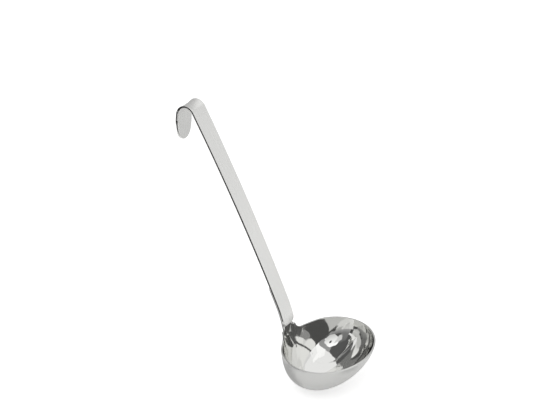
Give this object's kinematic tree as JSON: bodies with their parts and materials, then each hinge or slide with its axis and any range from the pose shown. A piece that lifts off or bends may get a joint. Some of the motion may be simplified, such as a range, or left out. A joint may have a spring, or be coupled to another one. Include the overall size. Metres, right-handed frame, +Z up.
{
  "type": "soup ladle",
  "caption": "Stainless steel soup ladle: an oval drawn bowl with an upright neck, welded behind a flat bar handle that ends in a hanging hook.",
  "frame": {"origin": "on the axis of the hook's bend, at the middle of the handle's width", "axes": "+Z up with the bowl's rim level, +X from the hook towards the bowl, +Y along the hook's axis"},
  "size_m": [0.1893, 0.1, 0.2527],
  "materials": {
    "bowl_steel": "mirror polished inside, fine satin outside",
    "handle_steel": "fine satin, brushed along the bar",
    "weld_steel": "dressed weld metal"
  },
  "bodies": {
    "root": {"bowl": "bowl_steel", "handle": "handle_steel", "spot_welds": "weld_steel", "foot_seam": "weld_steel"}
  },
  "joints": []
}
